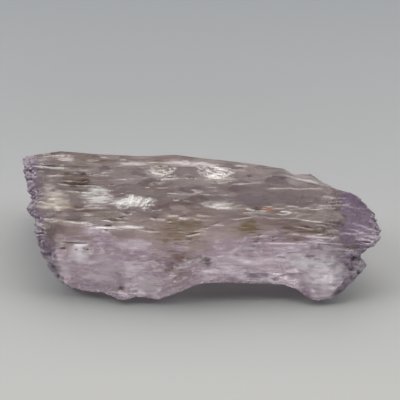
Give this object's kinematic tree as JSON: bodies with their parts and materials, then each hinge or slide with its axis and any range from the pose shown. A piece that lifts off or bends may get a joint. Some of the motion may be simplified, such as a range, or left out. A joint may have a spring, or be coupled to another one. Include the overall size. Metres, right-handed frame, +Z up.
{
  "type": "kunzite crystal",
  "caption": "Rough prismatic crystal of clear lilac spodumene with lengthwise ledges, chipped edges and etched ends, lying on a broad flat face.",
  "frame": {"origin": "middle of the underside's box, on the surface that the crystal rests on", "axes": "+X along the crystal towards its blunt pointed end, +Y towards its back, +Z up"},
  "size_m": [0.066, 0.027, 0.0145],
  "materials": {
    "kunzite": "clear, etched at both ends"
  },
  "bodies": {
    "root": {"kunzite_crystal": "kunzite"}
  },
  "joints": []
}
